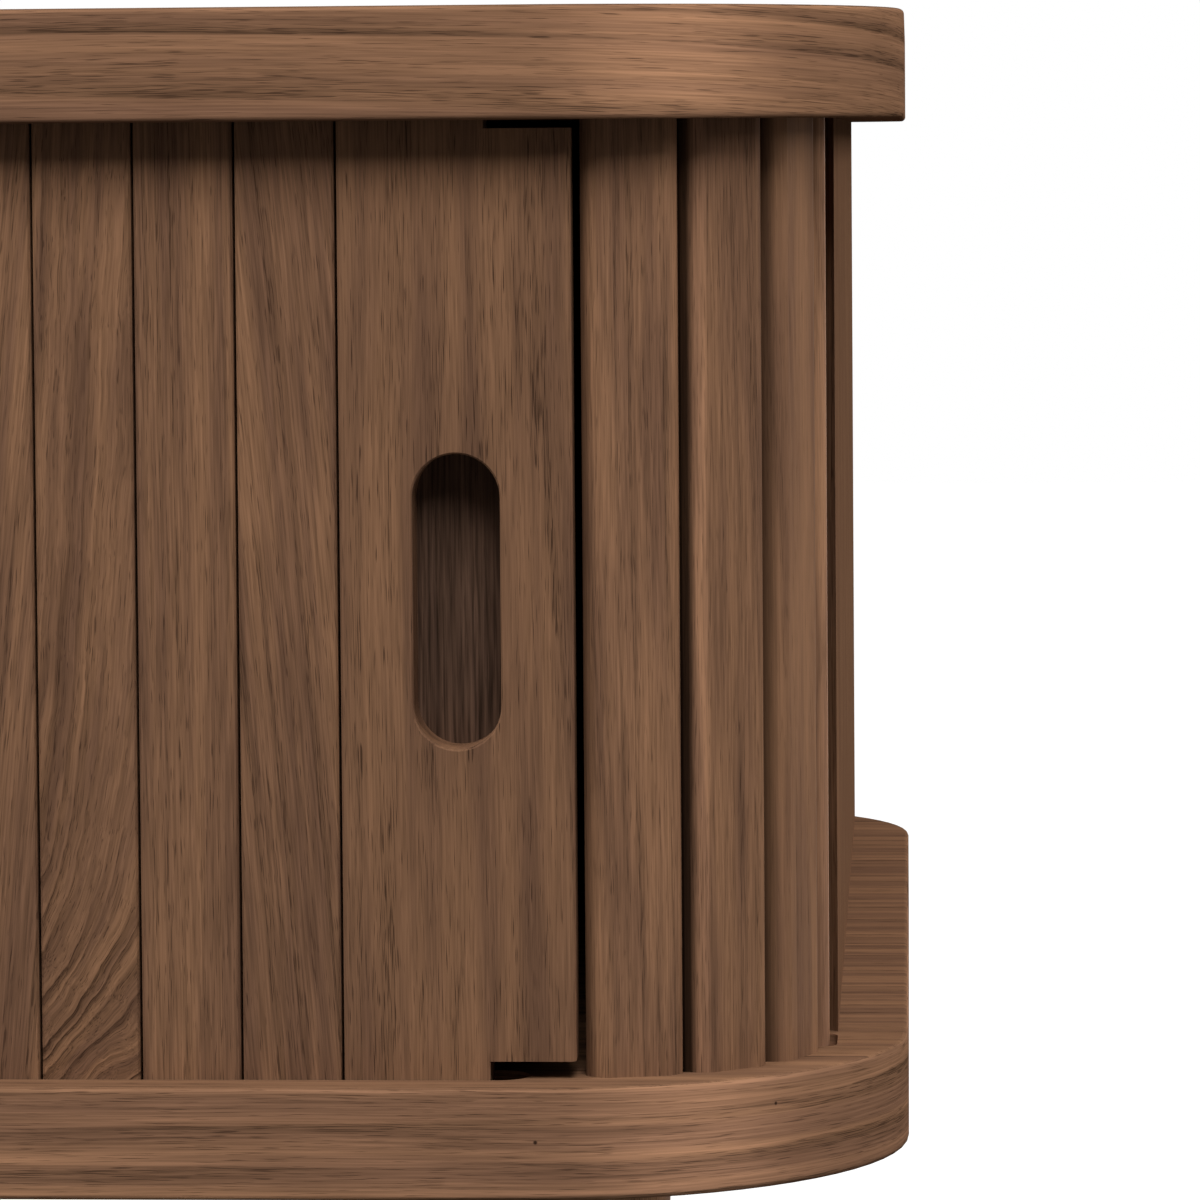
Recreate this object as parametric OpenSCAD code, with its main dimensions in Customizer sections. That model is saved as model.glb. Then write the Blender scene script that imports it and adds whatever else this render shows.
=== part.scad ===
// Bedside table with a sliding slatted door.
// Origin: floor, under the middle of the table. X to the right, Y to the back, Z up.
// The front is at -Y.

/* [Table] */
// Width of both slabs
table_w = 500; // [460:1:620]
// Depth of both slabs
table_d = 446; // [380:1:520]
// Thickness of each slab
slab_t = 20; // [16:0.5:28]
// Plan radius of the slabs' front corners
front_r = 68.5; // [64:0.5:90]
// Plan radius of the slabs' rear corners
rear_r = 54; // [30:1:80]
// Rounding of the slabs' edges
arris_r = 1; // [0.8:0.1:3]
// Clear height between the slabs
bay_h = 170; // [130:1:260]

/* [Legs] */
// Height of the table's underside above the floor
leg_h = 290; // [120:1:400]
// Diameter of a leg at its top
leg_top_d = 45; // [38:0.5:52]
// Diameter of a leg at its foot
leg_foot_d = 30; // [26:0.5:38]
// Length of the straight part at a leg's top
leg_straight = 60; // [20:1:90]
// From the slab's sides to a leg's axis
leg_inset = 79; // [60:1:100]
// Diameter of the bolt that holds a leg
bolt_d = 8; // [6:0.5:10]
// Depth of the bolt in a leg
bolt_in_leg = 36; // [25:1:60]
// Depth of the bolt in the slab
bolt_in_slab = 13; // [8:0.5:14]
// Radial clearance round a bolt
bolt_play = 0.2; // [0.1:0.05:0.4]
// Thickness of a floor glide's disc
glide_t = 3; // [2:0.5:6]
// Rim left between a glide and the edge of a foot
glide_rim = 3; // [2:0.5:5]
// Diameter of a glide's pin
glide_pin_d = 4; // [3:0.5:5]
// Length of a glide's pin
glide_pin_h = 14; // [8:1:20]

/* [Case] */
// From a slab's side edge to a side panel
side_in = 13.1; // [10:0.1:16]
// From a slab's rear edge to the rear of the case
rear_in = 24; // [22:0.5:40]
// Thickness of the side panels
side_t = 12; // [9:0.5:18]
// Width of the undercut at a side panel's front end
undercut_w = 5; // [3:0.5:8]
// Depth of that undercut
undercut_d = 8; // [4:0.5:12]
// Thickness of the back panel
back_t = 8; // [4:0.5:12]
// Setback of the back panel into the case
back_set = 6; // [0:0.5:15]
// Thickness of the divider between cupboard and niche
divider_t = 16; // [14:0.5:22]
// Gap between the last corner slat and its side panel
panel_gap = 2; // [1.5:0.1:4]

/* [Corner slats] */
// Number of fixed slats at each corner
corner_slats = 4; // [4:1:4]
// Radius of the circle that the corner slats' faces touch
turn_r = 44.7; // [44:0.1:48]
// From a slab's side edge to that circle
turn_side_in = 14.6; // [13:0.1:18]
// From a slab's front edge to that circle
turn_front_in = 12.5; // [12:0.5:16]
// Turn of the first corner slat
first_turn = 15; // [13:0.5:16]
// Turn from one corner slat to the next
turn_step = 25; // [24.75:0.25:25.5]
// Face width of a corner slat
corner_w = 19.3; // [18:0.1:19.4]
// Narrowing of a corner slat on each side towards its back
corner_taper = 1.75; // [1.7:0.05:2]
// Thickness of a corner slat
corner_t = 8; // [7:0.1:9]
// Radius of the rounding along a corner slat's front edges
corner_round = 5.2; // [3:0.1:5.6]
// Angle at which that rounding meets the face, as a fine line
corner_crease = 17; // [10:1:25]
// Thickness of the curved lining behind the corner slats
lining_t = 5; // [3:0.5:8]

/* [Door] */
// Number of narrow slats in the door
door_slats = 8; // [6:1:8]
// From one door slat to the next
slat_pitch = 18; // [16:0.5:20]
// Width of the joint between two door slats
slat_seam = 0.5; // [0.3:0.1:1]
// Thickness of the door slats
slat_t = 11; // [9:0.5:11]
// Bevel on the slats' front edges
slat_bevel = 0.4; // [0.2:0.1:1]
// Width of the wide slat that carries the pull
lead_w = 41.25; // [36:0.25:50]
// Rounding of the wide slat's free edge
lead_round = 1.4; // [0.8:0.1:2]
// Bevel at the back of the wide slat's free edge
lead_back_bevel = 2; // [1:0.1:3]
// Width of the step cut from the wide slat's free edge
step_w = 15.3; // [10:0.1:18]
// Height of that step at the bottom
step_low = 3.3; // [2:0.1:5]
// Height of that step at the top
step_high = 1.5; // [1:0.1:4]
// From a slab's front edge to the door's face
door_in = 10; // [8:0.5:10]
// Gap between the closed door and the corner slats
door_gap = 1.65; // [0.8:0.05:3]
// Width of the pull slot
pull_w = 15.6; // [12:0.1:24]
// Height of the pull slot
pull_h = 52.4; // [40:0.1:90]
// Rounding round the pull slot's mouth
pull_round = 0.3; // [0.2:0.1:1.2]
// Thickness of the strip behind the pull slot
backing_t = 4.5; // [3:0.5:6]
// Overlap of that strip past the pull slot
backing_lap = 6; // [4:0.5:12]
// Thickness of the canvas behind the slats
canvas_t = 0.6; // [0.4:0.1:1]
// From the slabs to the canvas
canvas_in = 7; // [4:0.5:15]
// Gap between the canvas and the strip behind the pull slot
canvas_gap = 1; // [0.5:0.1:3]

/* [Track] */
// Height of the slats' ends in the grooves
tongue_h = 3.4; // [2:0.1:5]
// Play of a slat's end to each side of its groove
track_play = 0.3; // [0.2:0.05:0.6]
// Room under the slats' ends
track_room = 0.6; // [0.3:0.1:1]
// Length of the grooves past the closed door's full part
track_past = 1; // [0:0.5:3]
// Thickness of a corner slat's tongue
tongue_t = 4.5; // [3:0.1:5]
// Width of a corner slat's tongue
corner_tongue_w = 12; // [8:0.5:13]
// Radius of the cutter's run-out beside the last corner slat
runout_r = 3.3; // [3:0.1:4]
// Length of that run-out between its end radii
runout_l = 10; // [4:0.5:14]
// Clearance between the door's back and the divider
divider_gap = 1.4; // [1:0.1:4]

/* [Hidden] */
$fn = 96;
// Fillet steps that need few faces
small_fn = 32;
half_w = table_w / 2;
half_d = table_d / 2;
floor_z = leg_h + slab_t;
ceil_z = floor_z + bay_h;
// Corner circle
turn_x = half_w - turn_side_in - turn_r;
turn_y = -half_d + turn_front_in + turn_r;
back_r = turn_r - corner_t;
corner_end = [turn_x, turn_y] + turn_r * [sin(first_turn), -cos(first_turn)]
           - corner_w / 2 * [cos(first_turn), sin(first_turn)];
last_turn = first_turn + (corner_slats - 1) * turn_step;
last_y = turn_y - turn_r * cos(last_turn) + corner_w / 2 * sin(last_turn);
// Door
door_y = -half_d + door_in;
door_back = door_y + slat_t;
door_right = corner_end[0] - door_gap;
door_w = lead_w + door_slats * slat_pitch;
slat_w = slat_pitch - slat_seam;
pull_x = door_right - lead_w / 2;
pull_z = (floor_z + ceil_z) / 2;
groove_depth = tongue_h + track_room;
groove_w = slat_t + 2 * track_play;
// Case
panel_x = half_w - side_in - side_t;
panel_front = last_y + panel_gap;
panel_back = half_d - rear_in;
back_y = panel_back - back_set - back_t;
divider_front = door_back + max(backing_t, canvas_t) + divider_gap;
lining_r = back_r - lining_t;

walnut = "#8a6449";
walnut_dark = "#7d5a41";
canvas_grey = "#5d554b";
steel = "#b9bcc0";
nylon = "#3a3634";

// Half section of a slab's edge: reach from the inside to the edge, thickness t
module edge_section(reach, t) {
    translate([0, arris_r]) square([reach, t - 2 * arris_r]);
    square([reach - arris_r, t]);
    for (z = [arris_r, t - arris_r]) translate([reach - arris_r, z]) circle(arris_r, $fn = small_fn);
}

// Quarter of a slab's corner with its centre at the origin, between +X and +Y
module slab_corner(r) {
    rotate_extrude(angle = 90) edge_section(r, slab_t);
}

// Straight stretch of a slab's edge, along +X from the origin, its edge towards -Y
module slab_edge(length, reach) {
    rotate([90, 0, 90]) linear_extrude(length) mirror([1, 0]) edge_section(reach, slab_t);
}

module slab_body() {
    for (s = [0, 1]) mirror([s, 0, 0]) {
        translate([half_w - front_r, -half_d + front_r, 0]) rotate([0, 0, -90]) slab_corner(front_r);
        translate([half_w - rear_r, half_d - rear_r, 0]) slab_corner(rear_r);
        translate([half_w - front_r, -half_d + front_r, 0]) rotate([0, 0, 90])
            slab_edge(table_d - front_r - rear_r, front_r);
    }
    translate([-half_w + front_r, -half_d + front_r, 0]) slab_edge(table_w - 2 * front_r, front_r);
    translate([half_w - rear_r, half_d - rear_r, 0]) rotate([0, 0, 180])
        slab_edge(table_w - 2 * rear_r, rear_r);
    translate([-half_w + front_r, -half_d + front_r, 0])
        cube([table_w - 2 * front_r, table_d - front_r - rear_r, slab_t]);
}

module slot_bar(x1, x2, w, h) {
    translate([x1, -w / 2, 0]) cube([x2 - x1, w, h]);
    for (x = [x1, x2]) translate([x, 0, 0]) cylinder(d = w, h = h);
}

// Grooves of one slab, cut upwards from z = 0. The door's groove has a square left end, which leaves
// a wall before the left corner slats.
module track_cut() {
    y = door_back - slat_t / 2;
    end = door_right - step_w + track_past;
    translate([0, y, 0]) slot_bar(0, end, groove_w, groove_depth);
    translate([-door_right - track_play, y - groove_w / 2, 0]) cube([door_right, groove_w, groove_depth]);
    for (s = [0, 1]) mirror([s, 0, 0]) {
        half_tongue = asin((corner_tongue_w / 2 + track_play) / back_r);
        from = first_turn - half_tongue;
        sweep = last_turn - first_turn + 2 * half_tongue;
        translate([turn_x, turn_y, 0]) rotate([0, 0, from - 90]) rotate_extrude(angle = sweep)
            translate([back_r - track_play, 0]) square([tongue_t + 2 * track_play + 0.6, groove_depth]);
        translate([half_w - side_in - runout_r, last_y - runout_r, 0]) rotate([0, 0, -90])
            slot_bar(0, runout_l, 2 * runout_r, groove_depth);
    }
}

module bottom_slab() color(walnut) difference() {
    translate([0, 0, leg_h]) slab_body();
    translate([0, 0, floor_z - groove_depth]) track_cut();
    for (x = [-1, 1], y = [-1, 1]) leg_place(x, y)
        translate([0, 0, leg_h]) cylinder(d = bolt_d + 2 * bolt_play, h = bolt_in_slab + bolt_play);
}

module top_slab() color(walnut) difference() {
    translate([0, 0, ceil_z]) slab_body();
    translate([0, 0, ceil_z]) track_cut();
}

// Case
module side_panel() color(walnut) translate([panel_x, panel_front, floor_z])
    linear_extrude(bay_h) polygon([[side_t, 0], [side_t, panel_back - panel_front],
        [0, panel_back - panel_front], [0, undercut_d], [side_t - undercut_w, undercut_d]]);

module back_panel() color(walnut_dark) translate([-panel_x, back_y, floor_z])
    cube([2 * panel_x, back_t, bay_h]);

module divider() color(walnut) translate([-divider_t / 2, divider_front, floor_z])
    cube([divider_t, back_y - divider_front, bay_h]);

// Curved lining with a flat behind each corner slat
module corner_lining() {
    from = first_turn - atan(corner_w / 2 / back_r) + 3;
    to = last_turn + atan(corner_w / 2 / back_r);
    flat_r = back_r / cos(turn_step / 2);
    outer = concat(
        [back_r / cos(first_turn - from) * [sin(from), -cos(from)]],
        [for (i = [0 : corner_slats - 2]) let (a = first_turn + (i + 0.5) * turn_step)
            flat_r * [sin(a), -cos(a)]],
        [back_r / cos(to - last_turn) * [sin(to), -cos(to)]]);
    color(walnut_dark) translate([turn_x, turn_y, floor_z]) linear_extrude(bay_h) difference() {
        polygon(concat(outer, [[0, 0]]));
        circle(lining_r);
    }
}

// Plan of a corner slat: its back on the X axis, its face towards -Y
module corner_plan() {
    w = corner_w / 2;
    b = w - corner_taper;
    r = corner_round;
    lean = atan(corner_taper / corner_t);
    top = -corner_t + r * cos(corner_crease);
    mid = b + corner_taper * -top / corner_t - r * cos(lean) + (r * sin(lean)) * tan(lean);
    arc = [for (i = [0 : 8]) let (a = lean + (90 - corner_crease - lean) * i / 8)
        [mid + r * cos(a), top - r * sin(a)]];
    polygon(concat([[b, 0]], arc, [for (i = [8 : -1 : 0]) [-arc[i][0], arc[i][1]]], [[-b, 0]]));
}

module corner_slat(i) {
    turn = first_turn + (i - 1) * turn_step;
    color(walnut) translate([turn_x, turn_y, 0]) rotate([0, 0, turn]) translate([0, -back_r, 0]) {
        translate([0, 0, floor_z]) linear_extrude(bay_h) corner_plan();
        translate([-corner_tongue_w / 2, -tongue_t, floor_z - tongue_h])
            cube([corner_tongue_w, tongue_t, bay_h + 2 * tongue_h]);
    }
}

module corner_slat_left(i) mirror([1, 0, 0]) corner_slat(i);

// Door, modelled closed
module door_slat(i) {
    right = door_right - lead_w - (i - 1) * slat_pitch - slat_seam;
    b = slat_bevel;
    color(walnut) translate([right - slat_w, door_y, floor_z - tongue_h]) linear_extrude(bay_h + 2 * tongue_h)
        polygon([[0, slat_t], [0, b], [b, 0], [slat_w - b, 0], [slat_w, b], [slat_w, slat_t]]);
}

module lead_plan() {
    b = slat_bevel;
    r = lead_round;
    k = lead_back_bevel;
    polygon([[0, slat_t], [0, b], [b, 0], [lead_w - r, 0], [lead_w, r],
             [lead_w, slat_t - k], [lead_w - k, slat_t]]);
    translate([lead_w - r, r]) circle(r, $fn = small_fn);
}

module pull_outline() {
    square([pull_w, pull_h - pull_w], center = true);
    for (s = [-1, 1]) translate([0, s * (pull_h - pull_w) / 2]) circle(d = pull_w);
}

module pull_cut() {
    translate([pull_x, door_y, pull_z]) rotate([-90, 0, 0]) {
        translate([0, 0, -1]) linear_extrude(slat_t + 2) pull_outline();
        for (s = [-1, 1]) translate([0, s * (pull_h - pull_w) / 2, -0.01])
            cylinder(d1 = pull_w + 2 * pull_round + 0.02, d2 = pull_w, h = pull_round + 0.01);
        for (s = [-1, 1]) translate([s * pull_w / 2, 0, 0]) rotate([90, 0, 0])
            translate([0, 0, -(pull_h - pull_w) / 2]) linear_extrude(pull_h - pull_w)
                polygon([[-pull_round, 0], [0, pull_round], [pull_round, 0], [pull_round, -0.5], [-pull_round, -0.5]]);
    }
}

module door_lead_slat() color(walnut) difference() {
    translate([door_right - lead_w, door_y, floor_z - tongue_h])
        linear_extrude(bay_h + 2 * tongue_h) lead_plan();
    translate([door_right - step_w, door_y - 1, floor_z - tongue_h - 1])
        cube([step_w + 1, slat_t + 2, step_low + tongue_h + 1]);
    translate([door_right - step_w, door_y - 1, ceil_z - step_high])
        cube([step_w + 1, slat_t + 2, step_high + tongue_h + 1]);
    pull_cut();
}

module door_canvas() color(canvas_grey) {
    left = door_right - door_w + slat_seam;
    right = pull_x - pull_w / 2 - backing_lap - canvas_gap;
    translate([left, door_back, floor_z + canvas_in]) cube([right - left, canvas_t, bay_h - 2 * canvas_in]);
}

module pull_backing() color(walnut_dark) {
    w = pull_w + 2 * backing_lap;
    h = pull_h + 2 * backing_lap;
    translate([pull_x - w / 2, door_back, pull_z - h / 2]) cube([w, backing_t, h]);
}

// Legs
module leg_place(x, y)
    translate([x * (half_w - leg_inset), y * (half_d - leg_inset), 0]) children();

module leg(x, y) color(walnut) leg_place(x, y) difference() {
    foot = leg_foot_d / 2;
    top = leg_top_d / 2;
    rotate_extrude() polygon([[0, glide_t], [foot - arris_r, glide_t], [foot, glide_t + arris_r],
        [top, leg_h - leg_straight], [top, leg_h], [0, leg_h]]);
    translate([0, 0, leg_h - bolt_in_leg - bolt_play])
        cylinder(d = bolt_d + 2 * bolt_play, h = bolt_in_leg + bolt_play + 1);
    cylinder(d = glide_pin_d + 2 * bolt_play, h = glide_t + glide_pin_h + bolt_play);
}

module bolt(x, y) color(steel) leg_place(x, y)
    translate([0, 0, leg_h - bolt_in_leg]) cylinder(d = bolt_d, h = bolt_in_leg + bolt_in_slab);

module glide(x, y) color(nylon) leg_place(x, y) {
    r = leg_foot_d / 2 - glide_rim;
    rotate_extrude() polygon([[0, 0], [r - 1, 0], [r, 1], [r, glide_t], [glide_pin_d / 2, glide_t],
        [glide_pin_d / 2, glide_t + glide_pin_h], [0, glide_t + glide_pin_h]]);
}

top_slab();
bottom_slab();
side_panel();  // side_panel_right
mirror([1, 0, 0]) side_panel();  // side_panel_left
back_panel();
divider();
corner_lining();  // corner_lining_right
mirror([1, 0, 0]) corner_lining();  // corner_lining_left
corner_slat(1);  // corner_slat_right_1
corner_slat(2);  // corner_slat_right_2
corner_slat(3);  // corner_slat_right_3
corner_slat(4);  // corner_slat_right_4
corner_slat_left(1);  // corner_slat_left_1
corner_slat_left(2);  // corner_slat_left_2
corner_slat_left(3);  // corner_slat_left_3
corner_slat_left(4);  // corner_slat_left_4
door_lead_slat();
door_slat(1);  // door_slat_1
door_slat(2);  // door_slat_2
door_slat(3);  // door_slat_3
door_slat(4);  // door_slat_4
door_slat(5);  // door_slat_5
door_slat(6);  // door_slat_6
door_slat(7);  // door_slat_7
door_slat(8);  // door_slat_8
door_canvas();
pull_backing();
leg(1, -1);  // leg_front_right
leg(-1, -1);  // leg_front_left
leg(1, 1);  // leg_rear_right
leg(-1, 1);  // leg_rear_left
bolt(1, -1);  // bolt_front_right
bolt(-1, -1);  // bolt_front_left
bolt(1, 1);  // bolt_rear_right
bolt(-1, 1);  // bolt_rear_left
glide(1, -1);  // glide_front_right
glide(-1, -1);  // glide_front_left
glide(1, 1);  // glide_rear_right
glide(-1, 1);  // glide_rear_left
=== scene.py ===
import math
import bpy
import bmesh
from mathutils import Euler, Matrix, Vector


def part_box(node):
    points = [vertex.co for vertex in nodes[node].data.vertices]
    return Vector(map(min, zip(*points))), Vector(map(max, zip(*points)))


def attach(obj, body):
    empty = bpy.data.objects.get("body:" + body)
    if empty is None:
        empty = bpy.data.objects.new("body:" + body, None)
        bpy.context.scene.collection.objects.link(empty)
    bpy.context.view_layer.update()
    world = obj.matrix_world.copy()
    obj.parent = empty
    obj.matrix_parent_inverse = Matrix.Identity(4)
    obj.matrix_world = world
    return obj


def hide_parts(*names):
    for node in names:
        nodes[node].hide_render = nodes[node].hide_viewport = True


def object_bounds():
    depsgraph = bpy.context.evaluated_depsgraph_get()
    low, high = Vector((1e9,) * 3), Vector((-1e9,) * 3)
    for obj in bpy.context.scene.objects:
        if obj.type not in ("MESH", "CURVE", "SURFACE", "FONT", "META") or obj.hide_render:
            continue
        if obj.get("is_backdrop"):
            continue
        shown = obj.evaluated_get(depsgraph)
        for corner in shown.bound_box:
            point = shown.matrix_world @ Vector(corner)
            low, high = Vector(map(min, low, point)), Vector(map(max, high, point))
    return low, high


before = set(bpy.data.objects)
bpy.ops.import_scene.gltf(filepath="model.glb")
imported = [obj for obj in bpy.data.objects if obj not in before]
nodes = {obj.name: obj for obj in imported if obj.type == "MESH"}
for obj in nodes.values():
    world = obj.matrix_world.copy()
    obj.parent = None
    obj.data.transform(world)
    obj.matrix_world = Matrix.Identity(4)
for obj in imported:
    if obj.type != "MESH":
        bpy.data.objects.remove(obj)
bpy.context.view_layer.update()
mm = 0.001
noiseLow, noiseHigh = 0.3, 0.7   # a noise node's values mostly lie between these


def linear(hexColour):
    # sRGB hex to the linear colour that sockets take
    parts = [int(hexColour[i:i + 2], 16) / 255 for i in (1, 3, 5)]
    return [c / 12.92 if c <= 0.04045 else ((c + 0.055) / 1.055) ** 2.4 for c in parts] + [1.0]


def addNode(tree, kind, inputs=None, **settings):
    # an input takes a value, a socket, or a node whose first output is meant
    node = tree.nodes.new("ShaderNode" + kind)
    for name, value in settings.items():
        setattr(node, name, value)
    for socket, value in (inputs or {}).items():
        if isinstance(value, bpy.types.Node):
            value = value.outputs[0]
        if isinstance(value, bpy.types.NodeSocket):
            tree.links.new(value, node.inputs[socket])
        else:
            node.inputs[socket].default_value = value
    return node


def newMaterial(name):
    material = bpy.data.materials.new(name)
    material.use_nodes = True
    material.node_tree.nodes.clear()
    return material, material.node_tree


def dress(nodeName, material):
    for holder in nodes[nodeName].material_slots:
        holder.material = material


def meshObject(name, bm, material):
    mesh = bpy.data.meshes.new(name)
    bm.to_mesh(mesh)
    bm.free()
    mesh.materials.append(material)
    piece = bpy.data.objects.new(name, mesh)
    bpy.context.scene.collection.objects.link(piece)
    return piece


def seenRays(tree):
    # 1 for what the camera sees, straight or by way of gloss or glass
    rays = addNode(tree, "LightPath").outputs
    straight, gloss, glass = (
        rays[f"Is {kind} Ray"] for kind in ("Camera", "Glossy", "Transmission")
    )
    seen = addNode(tree, "Math", {0: straight, 1: gloss}, operation="ADD")
    return addNode(tree, "Math", {0: seen, 1: glass}, operation="ADD", use_clamp=True)


def aimLamp(data, target, azimuth, elevation, distance):
    # degrees from the front and above the floor, as seen from the target
    azimuth, elevation = math.radians(azimuth), math.radians(elevation)
    way = Vector((
        math.sin(azimuth) * math.cos(elevation),
        -math.cos(azimuth) * math.cos(elevation),
        math.sin(elevation),
    ))
    lamp = bpy.data.objects.new(data.name, data)
    lamp.location = target + way * distance
    lamp.rotation_euler = (-way).to_track_quat("-Z", "Y").to_euler()
    bpy.context.scene.collection.objects.link(lamp)
    return lamp


# Camera, in the photograph's place: 1.27 m in front of the middle, level with the top slab
camera = {
    "place": (0.2507, -1.27239, 0.47664),
    "yaw": 3.757, "pitch": -3.111, "roll": -0.464,
    "sensor": 36, "lens": 180.946, "shift": (0.07139, -0.11122), "clipStart": 0.05,
}
lens = bpy.data.cameras.new("camera")
lens.sensor_width = camera["sensor"]
lens.lens = camera["lens"]
lens.shift_x, lens.shift_y = camera["shift"]
lens.clip_start = camera["clipStart"]
cameraObject = bpy.data.objects.new("camera", lens)
cameraObject.matrix_world = (
    Matrix.Translation(camera["place"])
    @ Matrix.Rotation(math.radians(camera["yaw"]), 4, "Z")
    @ Matrix.Rotation(math.radians(90 + camera["pitch"]), 4, "X")
    @ Matrix.Rotation(math.radians(camera["roll"]), 4, "Z")
)
bpy.context.scene.collection.objects.link(cameraObject)
bpy.context.scene.camera = cameraObject
bpy.context.scene.view_settings.view_transform = "Standard"
print("camera set")


# Ash, planed and sanded, stained walnut and matt lacquered. Each year's growth starts with a band
# of open pores that take the stain as fine dark dashes; the dense wood between is smooth and
# lighter.
ashLook = {
    "late": "#856249", "lateDark": "#6c4f3d",
    "early": "#473426", "pore": "#241813",
    "tone": 1.0,            # brightness of the whole board
    "centre": None,         # mm; None is the middle of the node's box
    "turn": (0, 0, 0),      # degrees; turns the board's grain from upright, face to the front
    "pith": (30.0, 35.0),   # mm from the board's middle to the tree's, sideways and behind
    "lean": (0.0, 1.5),     # degrees between the board and the tree, sideways and backwards
    "curl": None,           # a knot's sweep: mm up the board, mm of reach, pull and added waves
    "arch": None,           # a bent stem: mm along to the crown, mm of reach, mm of rise
    "bow": (4.0, 40.0, 240.0),   # mm of wave, over mm across and mm along
    "yearWidth": 2.4,       # mm of growth in a year
    "yearDrift": (0.3, 2.2),     # uneven years: how often their width changes, and how much
    "yearStart": 0.88,      # share of a year at which the next one's band begins
    "contrast": 0.45,       # how dark the bands are
    "fade": 2.6,            # how fast a band fades into the dense wood
    "leastBand": 0.3,       # the palest year's band, against 1 for the darkest
    "breakSize": (5.0, 60.0),    # mm of the places where a band is paler, across and along
    "breakRange": (0.36, 0.62), "breakLeast": 0.25,   # the noise there and elsewhere; band there
    "farBand": 0.4,         # a band's darkness out of reach of the knot, against 1 beside it
    "cloudSize": (4.5, 70.0),    # mm of the soft lighter and darker stripes, across and along
    "poreSize": (0.16, 4.5),     # mm between pores, across and along
    "poreDark": 0.55,       # how far a pore takes the dark stain
    "poreGather": 0.27,     # how far the pores keep to the bands
    "poreRange": (0.7, 0.82),    # the noise at a pore's rim and in its middle
    "fibreSize": (0.42, 16.0),   # mm, across and along; real fibres are too fine to show
    "fibreRange": (0.25, 0.75),  # the noise of a dull and of a bright fibre
    "streak": 0.3,          # brightness of the fibres, up and down
    "knots": [],            # (mm across, mm along, mm of radius) of pin knots
    "knotDark": 0.9,        # how far a pin knot's middle takes the dark stain
    "joint": None,          # mm across to where the joint's painted shade starts to end, to where it has ended and to where the arris's painted highlight ends, then both tones
                            # ended and to where the sanded arris ends, then both tones
    "arrisHighlightFade": 0.6,       # mm over which the arris's painted highlight ends
    "mirror": 1,            # -1 counts the joint from the board's other edge
    "roughness": 0.55, "poreRoughness": 0.75, "ior": 1.5, "anisotropic": 0.5,
    "specular": 0.03,       # the photo's wood has next to no sheen
    "sheen": "#ffc39a",
    "fibreRelief": 0.3, "poreDepth": 0.1, "bump": 0.35,   # share of a pore's depth, mm, strength
    "rimLimit": 0.75,       # a slab's faces that point up or down by less are its edge
    "seed": 1, "seedStep": (37.7, 11.3, 91.1),
}


def rimRun(tree, spot, slab):
    # mm along a slab's edge: from the front's middle, round the corner, down the side and to the
    # back's middle
    place = addNode(tree, "Mapping", {"Vector": spot, "Scale": (mm, mm, mm)}, vector_type="TEXTURE")
    x, y, z = addNode(tree, "SeparateXYZ", {0: place}).outputs
    out = addNode(tree, "Math", {0: x}, operation="ABSOLUTE")
    side = addNode(tree, "Math", {0: x}, operation="SIGN")
    (halfX, halfY), frontRadius, rearRadius = slab["half"], slab["frontRadius"], slab["rearRadius"]
    frontX, frontY = halfX - frontRadius, frontRadius - halfY
    rearX, rearY = halfX - rearRadius, halfY - rearRadius
    past = []
    for far, near in ((out, frontX), (frontY, y), (y, frontY), (out, rearX), (y, rearY)):
        apart = addNode(tree, "Math", {0: far, 1: near}, operation="SUBTRACT")
        past.append(addNode(tree, "Math", {0: apart, 1: 0.0}, operation="MAXIMUM"))
    frontPastX, frontPastY, down, rearPastX, rearPastY = past
    # the front, its corner and the side
    bend = addNode(tree, "Math", {0: frontPastX, 1: frontPastY}, operation="ARCTAN2")
    straight = addNode(tree, "Math", {0: out, 1: frontX}, operation="MINIMUM")
    front = addNode(tree, "Math", {0: bend, 1: frontRadius, 2: straight}, operation="MULTIPLY_ADD")
    front = addNode(tree, "Math", {0: front, 1: down}, operation="ADD")
    # the side, the rear corner and the back
    bend = addNode(tree, "Math", {0: rearPastY, 1: rearPastX}, operation="ARCTAN2")
    sideRun = addNode(tree, "Math", {0: y, 1: rearY}, operation="MINIMUM")
    rear = addNode(tree, "Math", {0: bend, 1: rearRadius, 2: sideRun}, operation="MULTIPLY_ADD")
    inside = addNode(tree, "Math", {0: out, 1: rearX}, operation="MINIMUM")
    along = addNode(tree, "Math", {0: rearX, 1: inside}, operation="SUBTRACT")
    atBack = addNode(tree, "Math", {0: y, 1: rearY}, operation="GREATER_THAN")
    rear = addNode(tree, "Math", {0: along, 1: atBack, 2: rear}, operation="MULTIPLY_ADD")
    toSide = frontX + frontRadius * math.pi / 2 - frontY
    rear = addNode(tree, "Math", {0: rear, 1: toSide}, operation="ADD")
    half = addNode(tree, "Math", {0: y, 1: 0.0}, operation="GREATER_THAN")
    run = addNode(tree, "Mix", {0: half, 2: front, 3: rear})
    run = addNode(tree, "Math", {0: run, 1: side}, operation="MULTIPLY")
    height = addNode(tree, "Math", {0: z, 1: slab["middle"]}, operation="SUBTRACT")
    return addNode(tree, "CombineXYZ", {0: height, 1: 0.0, 2: run})


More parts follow.
